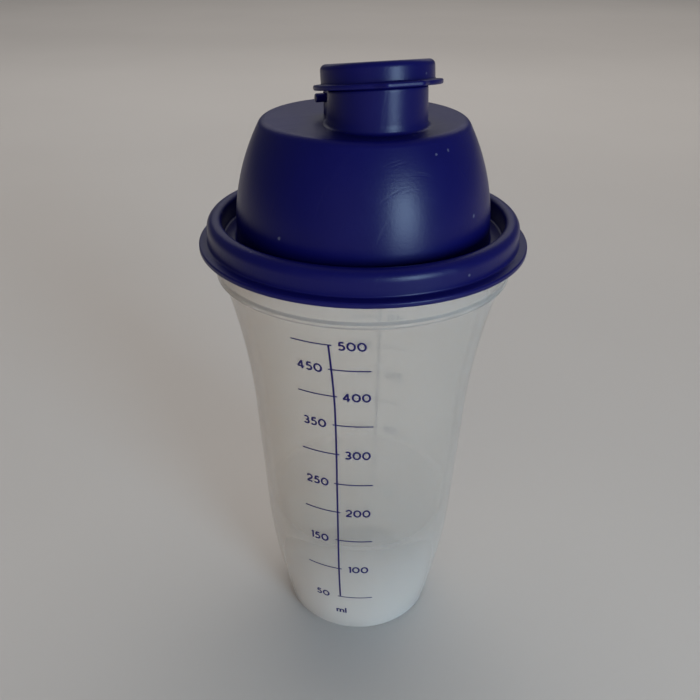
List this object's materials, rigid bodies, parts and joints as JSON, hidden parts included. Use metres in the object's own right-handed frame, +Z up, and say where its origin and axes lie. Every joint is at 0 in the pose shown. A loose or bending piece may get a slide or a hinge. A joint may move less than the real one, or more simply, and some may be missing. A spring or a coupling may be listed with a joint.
{
  "type": "shaker bottle",
  "caption": "Tapered translucent shaker cup with a press-on domed lid, slanted pouring spout, hinged flip cap and a clip-in mixing insert.",
  "frame": {"origin": "centre of the cup's foot, on the surface it stands on", "axes": "+Z up along the cup's axis; -Y towards the flip cap's thumb tab, +Y towards the cap's hinge"},
  "size_m": [0.1038, 0.1038, 0.2077],
  "materials": {
    "cup_plastic": "moulded natural polypropylene, translucent, satin",
    "lid_plastic": "moulded dark blue polyethylene, satin",
    "cap_plastic": "moulded dark blue polyethylene, satin",
    "insert_plastic": "moulded white polypropylene, satin"
  },
  "bodies": {
    "cup": {"cup": "cup_plastic"},
    "dome_lid": {"dome_lid": "lid_plastic"},
    "flip_cap": {"flip_cap": "cap_plastic"},
    "mixing_insert": {"mixing_insert": "insert_plastic"}
  },
  "joints": [
    {"name": "lid_lift", "type": "slide", "parent": "cup", "child": "dome_lid", "axis": [0, 0, 1], "range_m": [0, 0.06]},
    {"name": "cap_hinge", "type": "hinge", "parent": "dome_lid", "child": "flip_cap", "pos_m": [0, 0.00627, 0.19357], "axis": [-1, 0, 0], "range_deg": [0, 110]},
    {"name": "insert_unclip", "type": "slide", "parent": "dome_lid", "child": "mixing_insert", "axis": [0, 0, -1], "range_m": [0, 0.02]}
  ]
}
